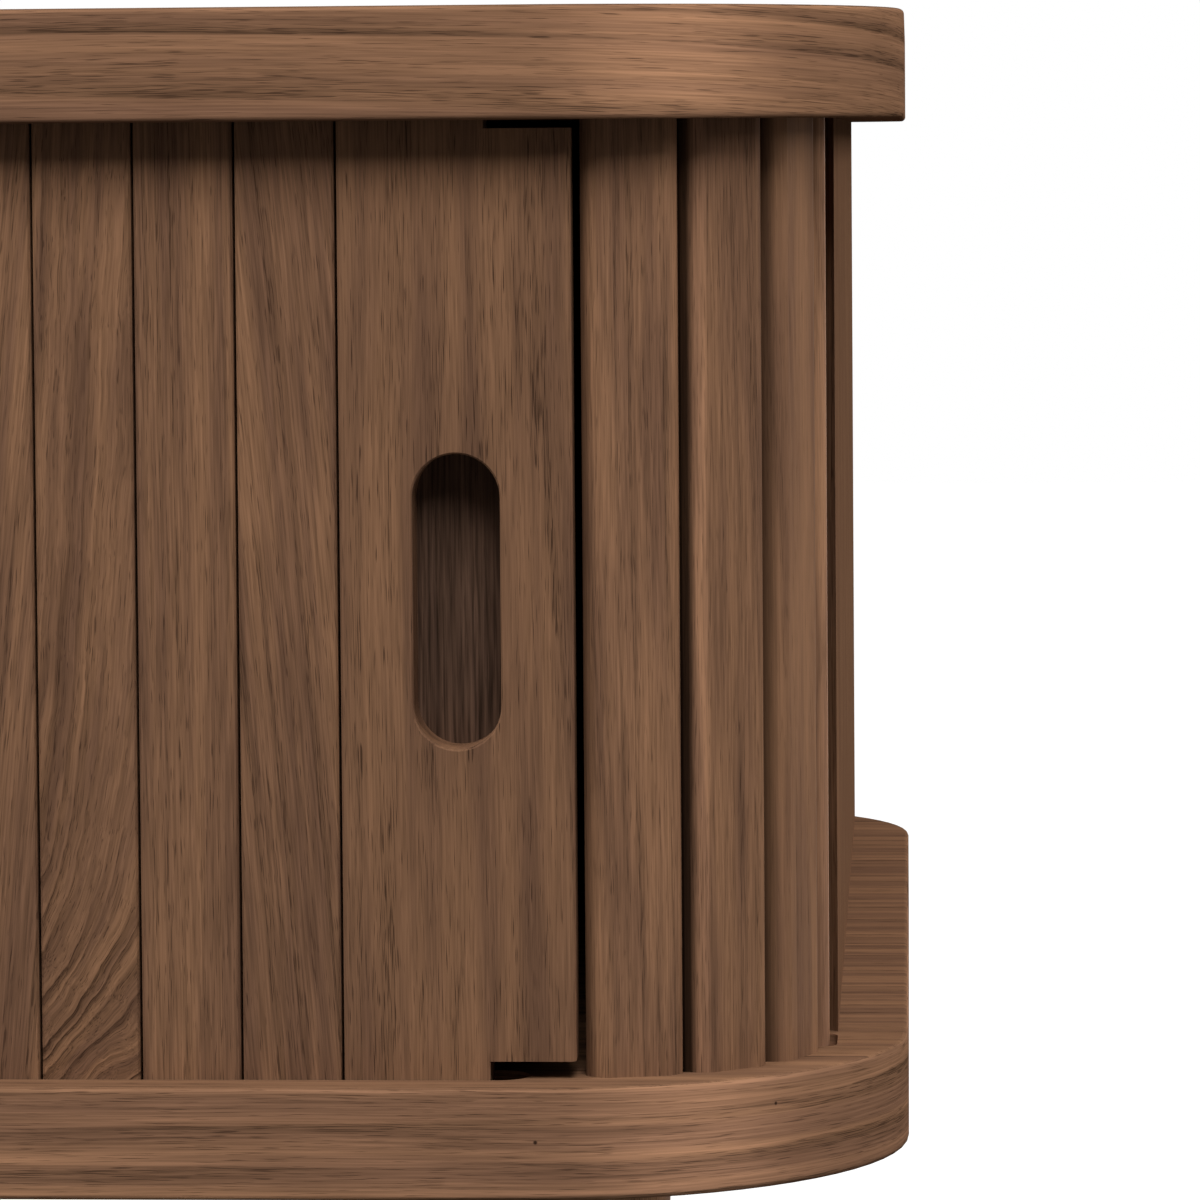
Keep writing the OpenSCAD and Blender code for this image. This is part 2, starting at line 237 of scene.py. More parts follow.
def bendGrain(tree, grain, look, seed):
    # the place in the board, bent with its fibres, the distance from the middle of the tree, both
    # in mm, and a knot's sweep, which is 1 at its height and fades upwards
    along = addNode(tree, "SeparateXYZ", {0: grain}).outputs[2]
    sideways, backwards = (math.tan(math.radians(angle)) for angle in look["lean"])
    drift = addNode(tree, "Math", {0: along, 1: sideways}, operation="MULTIPLY")
    wave, across, up = look["bow"]
    sway, knot = (wave, wave, 0), None
    if look["curl"]:
        height, reach, pull, stir = look["curl"]
        knot = addNode(tree, "Math", {
            0: along, 1: -1 / reach, 2: height / reach,
        }, operation="MULTIPLY_ADD")
        knot = addNode(tree, "Math", {0: knot}, operation="EXPONENT")
        drift = addNode(tree, "Math", {0: knot, 1: pull, 2: drift}, operation="MULTIPLY_ADD")
        sway = addNode(tree, "Math", {0: knot, 1: stir, 2: wave}, operation="MULTIPLY_ADD")
        sway = addNode(tree, "CombineXYZ", {0: sway, 1: sway})
    if look["arch"]:
        crown, reach, rise = look["arch"]
        arch = addNode(tree, "Math", {
            0: along, 1: 1 / reach, 2: -crown / reach,
        }, operation="MULTIPLY_ADD")
        arch = addNode(tree, "Math", {0: arch}, operation="COSINE")
        drift = addNode(tree, "Math", {0: arch, 1: -rise, 2: drift}, operation="MULTIPLY_ADD")
    waves = addNode(tree, "VectorMath", {
        0: grain, 1: (1 / across, 1 / across, 1 / up), 2: seed,
    }, operation="MULTIPLY_ADD")
    bow = addNode(tree, "TexNoise", {"Vector": waves, "Scale": 1.0, "Detail": 2.5}).outputs["Color"]
    bent = addNode(tree, "VectorMath", {0: bow, 1: sway, 2: grain}, operation="MULTIPLY_ADD")
    bent = addNode(tree, "VectorMath", {0: bent, 1: addNode(tree, "CombineXYZ", {0: drift})})
    # the noise is centred on a half, so half a wave comes off again
    pithX, pithY = look["pith"][0] - wave / 2, look["pith"][1] - wave / 2
    behind = addNode(tree, "Math", {0: along, 1: backwards, 2: pithY}, operation="MULTIPLY_ADD")
    pith = addNode(tree, "CombineXYZ", {0: pithX, 1: behind})
    fromPith = addNode(tree, "VectorMath", {0: bent, 1: pith})
    flat = addNode(tree, "VectorMath", {0: fromPith, 1: (1, 1, 0)}, operation="MULTIPLY")
    radius = addNode(tree, "VectorMath", {0: flat}, operation="LENGTH").outputs["Value"]
    return bent, radius, knot


def growYears(tree, radius, look, seed):
    # 1 at the start of a year's growth, fading to 0, and how dark each year's band is
    often, shift = look["yearDrift"]
    place = addNode(tree, "Math", {
        0: radius, 1: often / look["yearWidth"], 2: seed[0],
    }, operation="MULTIPLY_ADD")
    widths = addNode(tree, "TexNoise", {
        "W": place, "Scale": 1.0, "Detail": 1.0,
    }, noise_dimensions="1D")
    shifted = addNode(tree, "Math", {0: widths, 1: shift}, operation="MULTIPLY")
    year = addNode(tree, "Math", {
        0: radius, 1: 1 / look["yearWidth"], 2: shifted,
    }, operation="MULTIPLY_ADD")
    season = addNode(tree, "Math", {0: year}, operation="FRACT")
    left = addNode(tree, "Math", {0: 1.0, 1: season}, operation="SUBTRACT")
    fall = addNode(tree, "Math", {0: left, 1: look["fade"]}, operation="POWER")
    rise = addNode(tree, "MapRange", {
        0: season, 1: look["yearStart"], 2: 1.0,
    }, interpolation_type="SMOOTHSTEP")
    early = addNode(tree, "Math", {0: fall, 1: rise}, operation="MAXIMUM")
    which = addNode(tree, "Math", {0: year, 1: 1 - look["yearStart"]}, operation="ADD")
    which = addNode(tree, "Math", {0: which}, operation="FLOOR")
    luck = addNode(tree, "TexWhiteNoise", {"W": which}, noise_dimensions="1D")
    strength = addNode(tree, "MapRange", {0: luck, 3: look["leastBand"], 4: 1.0})
    return early, strength


def stainedAsh(nodeName, board, slab=None):
    look = {**ashLook, **board}
    material, tree = newMaterial("stainedAsh_" + nodeName)
    low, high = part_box(nodeName)
    centre = Vector(look["centre"]) * mm if look["centre"] else (low + high) / 2
    turn = Euler([math.radians(angle) for angle in look["turn"]])
    seed = Vector(look["seedStep"]) * look["seed"]
    spots = addNode(tree, "TexCoord").outputs
    spot, normal = spots["Object"], spots["Normal"]
    grain = addNode(tree, "Mapping", {
        "Vector": spot, "Location": centre, "Rotation": turn, "Scale": (mm, mm, mm),
    }, vector_type="TEXTURE")
    acrossGrain = addNode(tree, "VectorMath", {
        0: normal, 1: turn.to_matrix() @ Vector((0, 0, 1)),
    }, operation="CROSS_PRODUCT")
    if slab:
        up = addNode(tree, "SeparateXYZ", {0: normal}).outputs[2]
        up = addNode(tree, "Math", {0: up}, operation="ABSOLUTE")
        onRim = addNode(tree, "Math", {0: up, 1: look["rimLimit"]}, operation="LESS_THAN")
        grain = addNode(tree, "Mix", {
            0: onRim, 4: grain, 5: rimRun(tree, spot, slab),
        }, data_type="VECTOR").outputs[1]
        acrossGrain = addNode(tree, "Mix", {
            0: onRim, 4: acrossGrain, 5: (0, 0, 1),
        }, data_type="VECTOR").outputs[1]
    bent, radius, knot = bendGrain(tree, grain, look, seed)
    early, strength = growYears(tree, radius, look, seed)

    # noises stretched along the fibres: breaks in the bands, pores, fibres and clouds of colour
    noises = []
    for size, detail, roughness in (
        (look["breakSize"], 2.0, 0.5), (look["poreSize"], 0.0, 0.5),
        (look["fibreSize"], 1.0, 0.8), (look["cloudSize"], 2.0, 0.5),
    ):
        stretched = addNode(tree, "VectorMath", {
            0: bent, 1: (1 / size[0], 1 / size[0], 1 / size[1]), 2: seed,
        }, operation="MULTIPLY_ADD")
        noises.append(addNode(tree, "TexNoise", {
            "Vector": stretched, "Scale": 1.0, "Detail": detail, "Roughness": roughness,
        }))
    broken, pores, fibre, cloud = noises
    weak, full = look["breakRange"]
    whole = addNode(tree, "MapRange", {0: broken, 1: weak, 2: full, 3: look["breakLeast"], 4: 1.0})
    band = addNode(tree, "Math", {0: strength, 1: whole}, operation="MULTIPLY")
    band = addNode(tree, "Math", {0: early, 1: band}, operation="MULTIPLY")
    if knot:
        near = addNode(tree, "Math", {0: knot, 1: look["farBand"]}, operation="ADD", use_clamp=True)
        band = addNode(tree, "Math", {0: band, 1: near}, operation="MULTIPLY")
    pores = addNode(tree, "Math", {
        0: band, 1: look["poreGather"], 2: pores,
    }, operation="MULTIPLY_ADD")
    poreRim, poreMiddle = look["poreRange"]
    pore = addNode(tree, "MapRange", {0: pores, 1: poreRim, 2: poreMiddle})

    # a slab's broad faces are calmer than its edge, and darker by painted shade
    contrast = look["contrast"]
    if slab:
        calm = slab["faceCalm"]
        even = addNode(tree, "Math", {
            0: fibre, 1: calm, 2: (1 - calm) / 2,
        }, operation="MULTIPLY_ADD")
        fibre = addNode(tree, "Mix", {0: onRim, 2: even, 3: fibre})
        contrast = addNode(tree, "MapRange", {0: onRim, 3: contrast * calm, 4: contrast})
        facePaintedShade = addNode(tree, "MapRange", {0: onRim, 3: slab["facePaintedShade"], 4: 1.0})

    dark = addNode(tree, "MapRange", {
        0: cloud, 1: noiseLow, 2: noiseHigh,
    }, interpolation_type="SMOOTHSTEP")
    colour = addNode(tree, "Mix", {
        0: dark, 6: linear(look["late"]), 7: linear(look["lateDark"]),
    }, data_type="RGBA").outputs[2]
    stained = addNode(tree, "Math", {0: band, 1: contrast}, operation="MULTIPLY")
    colour = addNode(tree, "Mix", {
        0: stained, 6: colour, 7: linear(look["early"]),
    }, data_type="RGBA").outputs[2]
    dull, clear = look["fibreRange"]
    bright = addNode(tree, "MapRange", {
        0: fibre, 1: dull, 2: clear,
        3: look["tone"] * (1 - look["streak"]), 4: look["tone"] * (1 + look["streak"]),
    })
    # painted shade: a slab's broad faces come out darker than its edge
    if slab:
        bright = addNode(tree, "Math", {0: bright, 1: facePaintedShade}, operation="MULTIPLY")
    # painted shade in the joint beside the next slat, then a painted highlight on the rounded arris
    # after it
    if look["joint"]:
        shut, opened, highlightEnd, jointShadeTone, arrisHighlightTone = look["joint"]
        across = addNode(tree, "SeparateXYZ", {0: grain}).outputs[0]
        across = addNode(tree, "Math", {0: across, 1: look["mirror"]}, operation="MULTIPLY")
        shade = addNode(tree, "MapRange", {
            0: across, 1: shut, 2: opened, 3: jointShadeTone, 4: arrisHighlightTone,
        })
        onArrisHighlight = addNode(tree, "MapRange", {
            0: across, 1: highlightEnd, 2: highlightEnd + look["arrisHighlightFade"], 3: 1.0, 4: 0.0,
        })
        shade = addNode(tree, "Mix", {0: onArrisHighlight, 2: 1.0, 3: shade})
        bright = addNode(tree, "Math", {0: bright, 1: shade}, operation="MULTIPLY")
    colour = addNode(tree, "VectorMath", {0: colour, "Scale": bright}, operation="SCALE")
    openPore = addNode(tree, "Math", {0: pore, 1: look["poreDark"]}, operation="MULTIPLY")
    colour = addNode(tree, "Mix", {
        0: openPore, 6: colour, 7: linear(look["pore"]),
    }, data_type="RGBA").outputs[2]
    for acrossBoard, alongBoard, size in look["knots"]:
        apart = addNode(tree, "VectorMath", {
            0: grain, 1: (acrossBoard, 0, alongBoard),
        }, operation="DISTANCE").outputs["Value"]
        spotted = addNode(tree, "MapRange", {
            0: apart, 1: size, 2: size / 3, 4: look["knotDark"],
        }, interpolation_type="SMOOTHSTEP")
        colour = addNode(tree, "Mix", {
            0: spotted, 6: colour, 7: linear(look["pore"]),
        }, data_type="RGBA").outputs[2]

    rough = addNode(tree, "MapRange", {0: pore, 3: look["roughness"], 4: look["poreRoughness"]})
    relief = addNode(tree, "Math", {0: fibre, 1: look["fibreRelief"]}, operation="MULTIPLY")
    height = addNode(tree, "Math", {0: pore, 1: -1.0, 2: relief}, operation="MULTIPLY_ADD")
    bump = addNode(tree, "Bump", {
        "Height": height, "Strength": look["bump"], "Distance": look["poreDepth"] * mm,
    })
    # what sheen the lacquer leaves lies across the grain and takes the wood's colour
    wood = addNode(tree, "BsdfPrincipled", {
        "Base Color": colour, "Roughness": rough, "Normal": bump, "Tangent": acrossGrain,
        "IOR": look["ior"], "Specular IOR Level": look["specular"],
        "Specular Tint": linear(look["sheen"]), "Anisotropic": look["anisotropic"],
    })
    addNode(tree, "OutputMaterial", {"Surface": wood})
    return material


slabLook = {
    "half": (250.0, 223.0),              # mm from the middle to the side and to the front
    "frontRadius": 68.5, "rearRadius": 54.0,
    "facePaintedShade": 0.65, "faceCalm": 0.5,   # the broad faces' veneer against the solid edge: calmer grain, and painted shade on the faces
    "middle": {"top_slab": 490.0, "bottom_slab": 300.0},
    "both": {
        "turn": (90, 0, 90), "specular": 0.0,
        "poreSize": (0.14, 6.0), "fibreSize": (0.45, 30.0),
    },
    # the slabs' tones lie well above the slats': partly the edges' own colour, partly painted light
    # on them
    "boards": {
        "top_slab": {
            "seed": 3, "pith": (22, 26), "lean": (0.1, 0.5), "arch": (130.0, 100.0, 5.3),
            "yearWidth": 4.4, "leastBand": 0.5, "bow": (4.0, 60.0, 220.0), "contrast": 0.8,
            "cloudSize": (4.5, 300.0), "streak": 0.26, "tone": 1.25,
        },
        "bottom_slab": {
            "seed": 8, "pith": (-18, 24), "lean": (0.1, 0.4), "yearWidth": 4.2,
            "bow": (5.0, 60.0, 240.0), "contrast": 0.85, "fade": 1.6,
            "cloudSize": (5.0, 300.0), "tone": 1.44,
            "knots": [(0.5, 184.5, 0.5), (4.9, 230.5, 0.45)],
        },
    },
}
for nodeName, board in slabLook["boards"].items():
    slab = {**slabLook, "middle": slabLook["middle"][nodeName]}
    dress(nodeName, stainedAsh(nodeName, {**slabLook["both"], **board}, slab))
print("slabs dressed")

# Door slats from the wide one to the left end, each cut from another place in the tree
doorLook = {
    "door_lead_slat": {
        "seed": 21, "pith": (-11, 26), "lean": (0.3, 1.8), "yearWidth": 4.4, "fade": 2.4,
        "leastBand": 0.5, "contrast": 0.35, "bow": (3.5, 40, 200), "cloudSize": (6.0, 110.0),
        "poreSize": (0.14, 6.0), "poreDark": 0.7, "streak": 0.22, "tone": 0.92,
    },
    "door_slat_1": {
        "seed": 22, "pith": (46, 30), "lean": (4.5, 0.8), "yearWidth": 3.0,
        "cloudSize": (3.5, 60.0), "tone": 0.95,
    },
    "door_slat_2": {
        "seed": 23, "pith": (80, 16), "lean": (0.3, 0.3), "yearWidth": 2.2,
        "bow": (2.0, 40, 260), "contrast": 0.35, "cloudSize": (3.5, 120.0), "tone": 0.94,
    },
    "door_slat_3": {
        "seed": 24, "pith": (40, 20), "lean": (-3.0, 1.0), "curl": (-85.0, 22.0, 22.0, 8.0),
        "yearWidth": 2.8, "leastBand": 0.75, "bow": (1.8, 12.0, 18.0), "streak": 0.24,
        "early": "#2b1c13", "contrast": 0.95, "fade": 1.5, "cloudSize": (3.5, 50.0),
    },
    "door_slat_4": {
        "seed": 25, "pith": (40, 12), "lean": (-5.5, 1.0), "yearWidth": 3.0,
        "cloudSize": (3.5, 60.0), "tone": 0.97,
    },
    "door_slat_5": {"seed": 26, "pith": (60, 30), "lean": (0.5, 0.5), "tone": 0.97},
    "door_slat_6": {
        "seed": 27, "pith": (-4, 34), "lean": (0.3, 2.2), "yearWidth": 3.0, "tone": 0.9,
    },
    "door_slat_7": {
        "seed": 28, "pith": (75, 20), "lean": (0.8, 0.4), "yearWidth": 2.2, "tone": 0.98,
    },
    "door_slat_8": {
        "seed": 29, "pith": (22, 30), "lean": (1.2, 1.2), "yearWidth": 2.8, "tone": 0.93,
    },
}
for nodeName, board in doorLook.items():
    dress(nodeName, stainedAsh(nodeName, board))
print("door slats dressed")

# Corner slats, counted from the front round to the side; their middles lie on a circle
cornerLook = {
    "firstTurn": 15.0, "step": 25.0,     # degrees
    "middle": (190.7, -165.8, 395.0), "radius": 40.7,
    "both": {"poreSize": (0.14, 5.0), "poreDark": 0.5, "streak": 0.26},
    "right": [
        {"seed": 31, "pith": (34, 34), "lean": (0.2, 0.8), "yearWidth": 3.2, "tone": 1.08},
        {
            "seed": 32, "pith": (70, 20), "lean": (0.3, 0.4), "yearWidth": 2.6,
            "contrast": 0.35, "tone": 0.99,
        },
        {
            "seed": 33, "pith": (60, 30), "lean": (0.5, 0.5), "yearWidth": 2.6,
            "contrast": 0.2, "streak": 0.13, "poreDark": 0.3, "tone": 1.07,
        },
        # this slat's high tone is partly painted highlight and painted reflection on a face seen at
        # a grazing view
        {
            "seed": 34, "pith": (28, 36), "lean": (0.4, 1.0), "yearWidth": 2.6,
            "contrast": 0.3, "streak": 0.2, "poreDark": 0.35, "tone": 1.65,
        },
    ],
    "left": [
        {"seed": 35, "pith": (55, 26), "lean": (0.5, 0.6), "yearWidth": 1.9, "tone": 1.02},
        {
            "seed": 36, "pith": (-6, 30), "lean": (0.3, 1.8), "yearWidth": 2.3,
            "contrast": 0.5, "tone": 0.98,
        },
        {
            "seed": 37, "pith": (80, 18), "lean": (0.3, 0.3), "yearWidth": 1.6,
            "contrast": 0.4, "tone": 1.05,
        },
        {"seed": 38, "pith": (30, 32), "lean": (1.0, 1.0), "yearWidth": 2.2},
    ],
    # painted shade: the slats stand nearly edge to edge, so the shade in the joints between them is
    # painted as a darker tone, and the second slat's rounded edge after its joint is painted
    # lighter as a highlight
    "joints": [
        None, (-8.4, -7.5, -6.2, 0.18, 1.5), (-8.7, -7.2, -7.2, 0.3, 1.0),
        (-8.2, -6.0, -6.0, 0.6, 1.0),
    ],
}
for side, sign in (("right", 1), ("left", -1)):
    for i, board in enumerate(cornerLook[side]):
        turn = sign * (cornerLook["firstTurn"] + i * cornerLook["step"])
        way, radius = math.radians(turn), cornerLook["radius"]
        x, y, z = cornerLook["middle"]
        place = {
            "turn": (0, 0, turn), "joint": cornerLook["joints"][i], "mirror": sign,
            "centre": (sign * x + radius * math.sin(way), y - radius * math.cos(way), z),
        }
        nodeName = f"corner_slat_{side}_{i + 1}"
        dress(nodeName, stainedAsh(nodeName, {**cornerLook["both"], **board, **place}))
print("corner slats dressed")

# Case: the side panels and the divider face sideways, and the back's grain runs across
caseLook = {
    "side_panel_right": {
        "seed": 41, "turn": (0, 0, 90), "pith": (-30, 60), "lean": (0.3, 1.5),
        "yearWidth": 3.0, "bow": (8, 60, 200), "specular": 0.0,
    },
    "side_panel_left": {
        "seed": 42, "turn": (0, 0, 90), "pith": (40, 60), "lean": (0.3, 1.2),
        "yearWidth": 3.0, "bow": (8, 60, 200), "specular": 0.0,
    },
    "divider": {
        "seed": 43, "turn": (0, 0, 90), "pith": (10, 50), "lean": (0.5, 1.6),
        "yearWidth": 2.8, "bow": (6, 60, 200),
    },
    "back_panel": {
        "seed": 44, "turn": (0, -90, 0), "pith": (-20, 55), "lean": (0.2, 0.8),
        "yearWidth": 3.2, "bow": (9, 50, 220), "tone": 0.92,
    },
    "corner_lining_right": {"seed": 45, "pith": (60, 40), "tone": 0.9},
    "corner_lining_left": {"seed": 46, "pith": (50, 44), "tone": 0.9},
    # its dark colours are partly painted shade of the slot it lies behind
    "pull_backing": {
        "seed": 47, "late": "#5a4437", "lateDark": "#48362c", "pith": (30, 30),
        "yearWidth": 1.8, "contrast": 0.3, "poreDark": 0.3, "fibreSize": (0.55, 18.0),
        "streak": 0.6, "tone": 0.96,
    },
}
for nodeName, board in caseLook.items():
    dress(nodeName, stainedAsh(nodeName, board))

# Legs, turned: the taper cuts the years into long tongues
legLook = {
    "all": {"yearWidth": 2.6, "bow": (2.5, 30, 200), "contrast": 0.5},
    "boards": {
        "leg_front_right": {"seed": 51, "pith": (9, 13), "lean": (0.6, 0.8)},
        "leg_front_left": {"seed": 52, "pith": (-12, 8), "lean": (0.3, 1.0)},
        "leg_rear_right": {"seed": 53, "pith": (15, -7), "lean": (0.8, 0.4)},
        "leg_rear_left": {"seed": 54, "pith": (-6, -14), "lean": (0.4, 0.9)},
    },
}
for nodeName, board in legLook["boards"].items():
    dress(nodeName, stainedAsh(nodeName, {**legLook["all"], **board}))
print("case and legs dressed")

# Floor: matt paper, pale and even; the camera sees it white further out, and it keeps the shadow
floorLook = {
    "size": 14.0, "colour": "#6a6968",
    "near": 0.7, "far": 1.0, "fadeFrom": 0.5, "fadeTo": 1.6,   # glow, and metres from the middle
}
material, tree = newMaterial("mattPaper")
spot = addNode(tree, "TexCoord").outputs["Object"]
distance = addNode(tree, "VectorMath", {0: spot}, operation="LENGTH").outputs["Value"]
glow = addNode(tree, "MapRange", {
    0: distance, 1: floorLook["fadeFrom"], 2: floorLook["fadeTo"],
    3: floorLook["near"], 4: floorLook["far"],
}, interpolation_type="SMOOTHSTEP")
glow = addNode(tree, "Math", {0: glow, 1: seenRays(tree)}, operation="MULTIPLY")
paper = addNode(tree, "BsdfDiffuse", {"Color": linear(floorLook["colour"])})
light = addNode(tree, "Emission", {"Color": (1, 1, 1, 1), "Strength": glow})
lit = addNode(tree, "AddShader", {0: paper, 1: light})
addNode(tree, "OutputMaterial", {"Surface": lit})
bm = bmesh.new()
bmesh.ops.create_grid(bm, x_segments=1, y_segments=1, size=floorLook["size"] / 2)
floor = meshObject("floor", bm, material)
floor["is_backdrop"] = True

# Room: white where the camera, gloss or glass sees it, dim as a light
roomLook = {"ambient": 0.1}
world = bpy.data.worlds.new("room")
bpy.context.scene.world = world
world.use_nodes = True
tree = world.node_tree
tree.nodes.clear()
strength = addNode(tree, "MapRange", {0: seenRays(tree), 3: roomLook["ambient"], 4: 1.0})
sky = addNode(tree, "Background", {"Color": (1, 1, 1, 1), "Strength": strength})
addNode(tree, "OutputWorld", {"Surface": sky})

# Softboxes aimed at the case: two tall ones in front, a weaker one at the right, two behind
# for the back. Their places are in degrees from the front and above the floor. Level 1 lights a
# face turned to the lamp so that its colour shows as written.
lampLook = {
    "aim": (0.0, 0.0, 0.36), "distance": 2.4,
    "boxes": {
        "softboxFrontRight": {"place": (18, 46), "size": (0.7, 1.2), "level": 0.72},
        "softboxFrontLeft": {"place": (-40, 42), "size": (0.8, 1.2), "level": 0.49},
        "softboxRight": {"place": (85, 25), "size": (0.9, 0.9), "level": 0.38},
        "softboxRearRight": {"place": (150, 28), "size": (1.0, 1.0), "level": 0.35},
        "softboxRearLeft": {"place": (-125, 28), "size": (1.0, 1.0), "level": 0.45},
    },
}
for name, box in lampLook["boxes"].items():
    data = bpy.data.lights.new(name, "AREA")
    data.shape = "RECTANGLE"
    data.size, data.size_y = box["size"]
    data.energy = box["level"] * math.pi * math.pi * lampLook["distance"] ** 2
    aimLamp(data, Vector(lampLook["aim"]), *box["place"], lampLook["distance"])

# Two narrow spots that brighten the slabs alone where their edges start to turn, as in the
# photograph; turn counts the degrees round the corner from the front
spotLook = {
    "place": (21, 10), "distance": 1.2, "cone": 2.3, "radius": 0.01,   # degrees, m, degrees, m
    "spots": {"top_slab": {"turn": 25, "level": 0.6}, "bottom_slab": {"turn": 27, "level": 0.57}},
}
slabs = bpy.data.collections.new("slabs")
for nodeName, spot in spotLook["spots"].items():
    slabs.objects.link(nodes[nodeName])
    radius, turn = slabLook["frontRadius"], math.radians(spot["turn"])
    corner = Vector((
        slabLook["half"][0] - radius + radius * math.sin(turn),
        -slabLook["half"][1] + radius - radius * math.cos(turn),
        slabLook["middle"][nodeName],
    )) * mm
    data = bpy.data.lights.new("spot_" + nodeName, "SPOT")
    data.spot_size = math.radians(spotLook["cone"])
    data.spot_blend = 1.0
    data.shadow_soft_size = spotLook["radius"]
    # a spot's watts count for the whole sphere
    data.energy = spot["level"] * math.pi * 4 * math.pi * spotLook["distance"] ** 2
    lamp = aimLamp(data, corner, *spotLook["place"], spotLook["distance"])
    lamp.light_linking.receiver_collection = slabs
print("floor, room and lamps set")

# Canvas glued behind the door: plain weave with a dull nap, drawn into the joints between the
# slats and thicker at its folded edges. Its threads are drawn 0.9 mm apart, coarser than real ones.
canvasLook = {
    "warp": "#6e6356", "weft": "#5d5348", "weaveShade": "#2c2722",
    "thread": 0.9, "bump": 0.8, "relief": 0.2,   # mm, strength, mm
    "yarn": 0.35, "worn": (0.8, 1.15),           # patches a thread, and their tones
    "weaveShadeRange": (0.1, 0.6),                      # a thread's height where the painted shade between threads is full and where it ends
    "roughness": 0.92, "nap": 0.15,
    "clear": 0.02, "thickness": 0.42,            # mm from the slats, mm
    "press": 0.14, "reach": 1.3,                 # mm into a joint, over mm to each side
    "selvedge": 4.0, "fold": 0.12,               # mm of folded edge, mm thicker
    "step": (0.75, 2.25),                        # mm between points, across and up
}
material, tree = newMaterial("wovenCanvas")
spot = addNode(tree, "TexCoord").outputs["Object"]
threads = addNode(tree, "VectorMath", {
    0: spot, "Scale": 1 / (canvasLook["thread"] * mm),
}, operation="SCALE")
u, _, v = addNode(tree, "SeparateXYZ", {0: threads}).outputs
crowns, cells = [], []
for axis in (u, v):
    wave = addNode(tree, "Math", {0: axis, 1: math.pi}, operation="MULTIPLY")
    wave = addNode(tree, "Math", {0: wave}, operation="SINE")
    crowns.append(addNode(tree, "Math", {0: wave}, operation="ABSOLUTE"))
    cells.append(addNode(tree, "Math", {0: axis}, operation="FLOOR"))
# every second cell has the weft on top
over = addNode(tree, "Math", {0: cells[0], 1: cells[1]}, operation="ADD")
over = addNode(tree, "Math", {0: over, 1: 0.5}, operation="MULTIPLY")
over = addNode(tree, "Math", {0: over}, operation="FRACT")
over = addNode(tree, "Math", {0: over, 1: 0.25}, operation="GREATER_THAN")
height = addNode(tree, "Mix", {0: over, 2: crowns[0], 3: crowns[1]})
yarn = addNode(tree, "TexNoise", {"Vector": threads, "Scale": canvasLook["yarn"], "Detail": 4.0})
worn = addNode(tree, "MapRange", {
    0: yarn, 1: noiseLow, 2: noiseHigh, 3: canvasLook["worn"][0], 4: canvasLook["worn"][1],
})
colour = addNode(tree, "Mix", {
    0: over, 6: linear(canvasLook["warp"]), 7: linear(canvasLook["weft"]),
}, data_type="RGBA").outputs[2]
colour = addNode(tree, "VectorMath", {0: colour, "Scale": worn}, operation="SCALE")
# painted shade in the low places between the threads
shade = addNode(tree, "MapRange", {
    0: height, 1: canvasLook["weaveShadeRange"][0], 2: canvasLook["weaveShadeRange"][1],
})
colour = addNode(tree, "Mix", {
    0: shade, 6: linear(canvasLook["weaveShade"]), 7: colour,
}, data_type="RGBA").outputs[2]
bump = addNode(tree, "Bump", {
    "Height": height, "Strength": canvasLook["bump"], "Distance": canvasLook["relief"] * mm,
})
cloth = addNode(tree, "BsdfPrincipled", {
    "Base Color": colour, "Roughness": canvasLook["roughness"],
    "Sheen Weight": canvasLook["nap"], "Normal": bump,
})
addNode(tree, "OutputMaterial", {"Surface": cloth})

low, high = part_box("door_canvas")
size = high.x - low.x, high.z - low.z
columns, rows = (round(length / (step * mm)) for length, step in zip(size, canvasLook["step"]))
joints = [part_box(f"door_slat_{n}")[0].x for n in range(1, 8)]
bm = bmesh.new()
rings = []
for j in range(rows + 1):
    z = low.z + size[1] * j / rows
    ring = []
    for i in range(columns + 1):
        x = low.x + size[0] * i / columns
        joint = min(abs(x - at) for at in joints) / (canvasLook["reach"] * mm)
        edge = min(x - low.x, high.x - x, z - low.z, high.z - z)
        back = canvasLook["thickness"] - canvasLook["press"] * math.exp(-joint * joint)
        back += canvasLook["fold"] * (edge < canvasLook["selvedge"] * mm)
        ring.append([bm.verts.new((x, low.y + y * mm, z)) for y in (canvasLook["clear"], back)])
    rings.append(ring)
for j in range(rows):
    for i in range(columns):
        a, b, c, d = rings[j][i], rings[j][i + 1], rings[j + 1][i + 1], rings[j + 1][i]
        bm.faces.new((a[0], b[0], c[0], d[0]))
        bm.faces.new((d[1], c[1], b[1], a[1]))
rim = rings[0] + [ring[-1] for ring in rings[1:]]
rim += rings[-1][-2::-1] + [ring[0] for ring in rings[-2:0:-1]]
for a, b in zip(rim, rim[1:] + rim[:1]):
    bm.faces.new((a[1], b[1], b[0], a[0]))
bm.normal_update()
canvas = meshObject("canvasBacking", bm, material)
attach(canvas, "door")
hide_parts("door_canvas")
print("canvas made")

# Floor glides: nylon as it comes from the mould, dull, with a fine spark-eroded grain and a
# foot scuffed pale
nylonLook = {
    "colour": "#3a3634", "scuffed": "#57524e", "scuffHeight": 0.6,
    "grain": 0.35, "bump": 0.3, "relief": 0.05,   # mm, strength, mm
    "roughness": (0.48, 0.62), "ior": 1.53,
}
material, tree = newMaterial("mouldedNylon")
spot = addNode(tree, "TexCoord").outputs["Object"]
grain = addNode(tree, "TexNoise", {
    "Vector": spot, "Scale": 1 / (nylonLook["grain"] * mm), "Detail": 2.0,
})
up = addNode(tree, "SeparateXYZ", {0: spot}).outputs[2]
scuff = addNode(tree, "MapRange", {0: up, 1: nylonLook["scuffHeight"] * mm, 2: 0.0})
scuff = addNode(tree, "Math", {0: scuff, 1: grain}, operation="MULTIPLY")
colour = addNode(tree, "Mix", {
    0: scuff, 6: linear(nylonLook["colour"]), 7: linear(nylonLook["scuffed"]),
}, data_type="RGBA").outputs[2]
smooth, rough = nylonLook["roughness"]
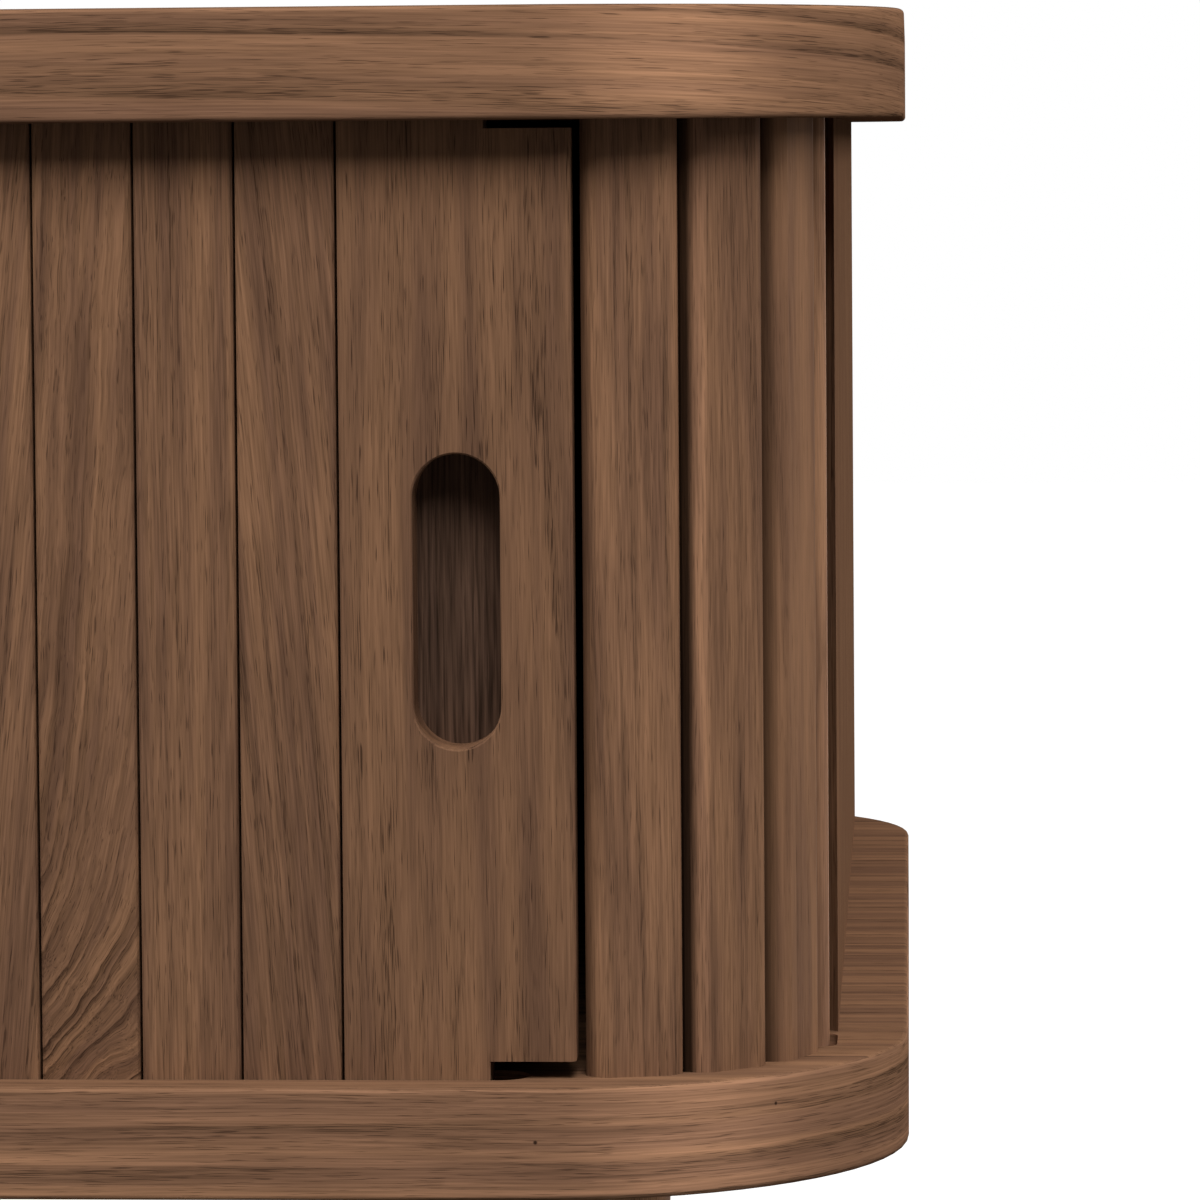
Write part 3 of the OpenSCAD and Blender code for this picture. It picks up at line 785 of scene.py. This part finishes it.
rough = addNode(tree, "MapRange", {0: grain, 1: noiseLow, 2: noiseHigh, 3: smooth, 4: rough})
bump = addNode(tree, "Bump", {
    "Height": grain, "Strength": nylonLook["bump"], "Distance": nylonLook["relief"] * mm,
})
plastic = addNode(tree, "BsdfPrincipled", {
    "Base Color": colour, "Roughness": rough, "IOR": nylonLook["ior"], "Normal": bump,
})
addNode(tree, "OutputMaterial", {"Surface": plastic})
for nodeName in nodes:
    if nodeName.startswith("glide_"):
        dress(nodeName, material)

# Leg bolts: zinc-plated steel with a rolled thread, with painted shade darkening it between the
# crests
boltLook = {
    "colour": "#b9bcc0", "shadedRoot": "#85888c", "roughness": (0.28, 0.45), "spangle": 2.5,
    "pitch": 1.25, "bump": 0.6, "relief": 0.4,   # mm, strength, mm
}
material, tree = newMaterial("zincPlatedSteel")
spot = addNode(tree, "TexCoord").outputs["Object"]
up = addNode(tree, "SeparateXYZ", {0: spot}).outputs[2]
turns = 2 * math.pi / (boltLook["pitch"] * mm)
thread = addNode(tree, "Math", {0: up, 1: turns}, operation="MULTIPLY")
thread = addNode(tree, "Math", {0: thread}, operation="SINE")
crest = addNode(tree, "MapRange", {0: thread, 1: -1.0})
# painted shade: the thread is darker between its crests
colour = addNode(tree, "Mix", {
    0: crest, 6: linear(boltLook["shadedRoot"]), 7: linear(boltLook["colour"]),
}, data_type="RGBA").outputs[2]
spangle = addNode(tree, "TexNoise", {
    "Vector": spot, "Scale": 1 / (boltLook["spangle"] * mm), "Detail": 3.0,
})
smooth, rough = boltLook["roughness"]
rough = addNode(tree, "MapRange", {0: spangle, 1: noiseLow, 2: noiseHigh, 3: smooth, 4: rough})
bump = addNode(tree, "Bump", {
    "Height": crest, "Strength": boltLook["bump"], "Distance": boltLook["relief"] * mm,
})
metal = addNode(tree, "BsdfPrincipled", {
    "Base Color": colour, "Metallic": 1.0, "Roughness": rough, "Normal": bump,
})
addNode(tree, "OutputMaterial", {"Surface": metal})
for nodeName in nodes:
    if nodeName.startswith("bolt_"):
        dress(nodeName, material)
print("glides and bolts dressed")

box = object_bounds()
